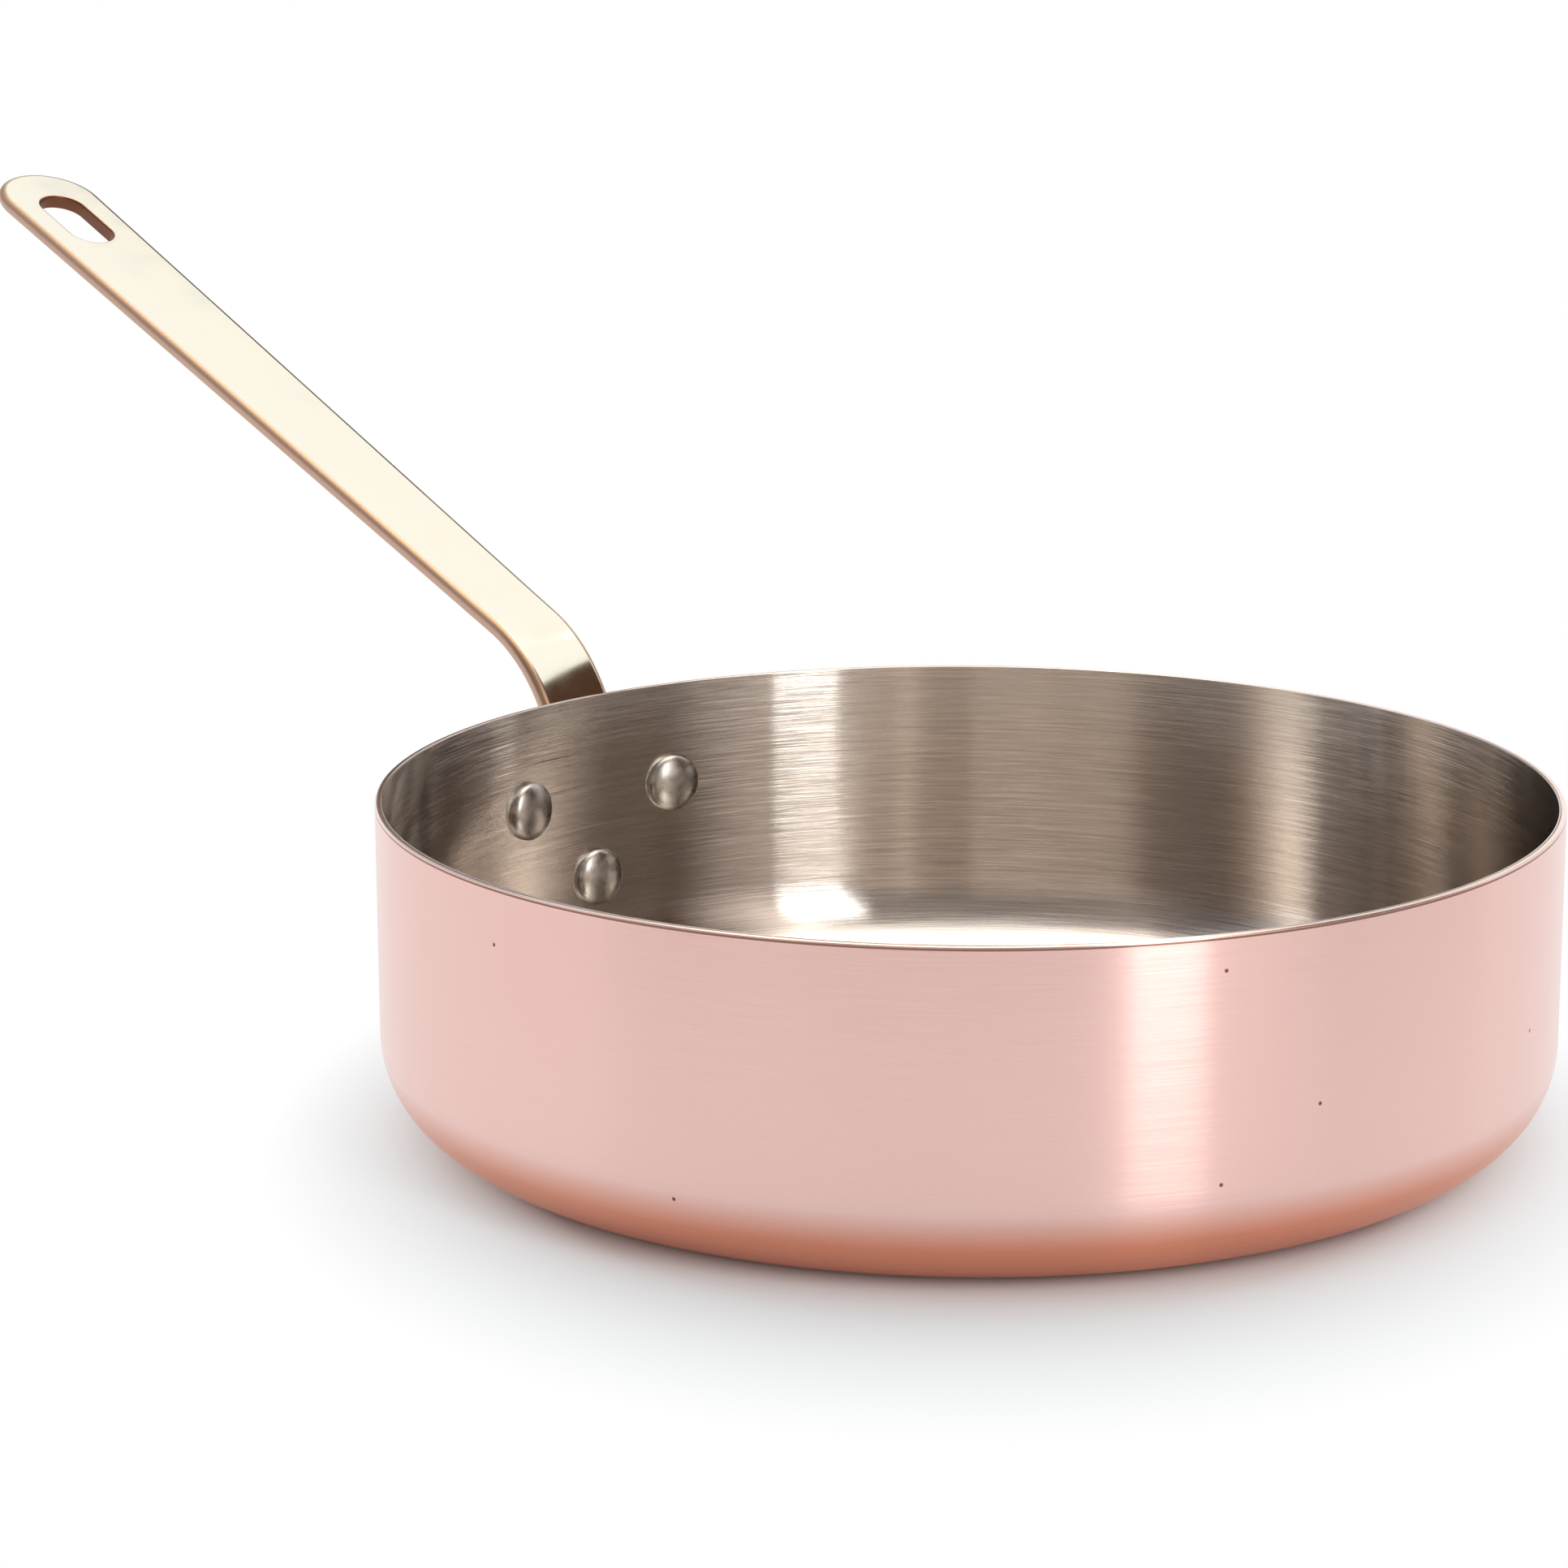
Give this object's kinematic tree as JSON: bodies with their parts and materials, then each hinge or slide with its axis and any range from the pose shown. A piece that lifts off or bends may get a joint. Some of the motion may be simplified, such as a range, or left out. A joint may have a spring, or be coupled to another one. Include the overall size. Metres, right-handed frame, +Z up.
{
  "type": "frying pan",
  "caption": "Straight-walled copper pan with a steel lining, a flat base and a long brass handle riveted to its wall, with a hanging slot at the tip.",
  "frame": {"origin": "centre of the flat base's underside, on the bowl's axis", "axes": "+Z up along the bowl's axis, +X along the handle, away from the bowl"},
  "size_m": [0.4632, 0.24, 0.1667],
  "materials": {
    "copper": "satin copper with fine brushing round the wall",
    "lining_steel": "stainless steel brushed round the wall",
    "brass": "polished brass",
    "rivet_steel": "satin stainless steel"
  },
  "bodies": {
    "root": {"copper_shell": "copper", "steel_lining": "lining_steel", "handle": "brass", "rivet_upper_left": "rivet_steel", "rivet_upper_right": "rivet_steel", "rivet_lower": "rivet_steel"}
  },
  "joints": []
}
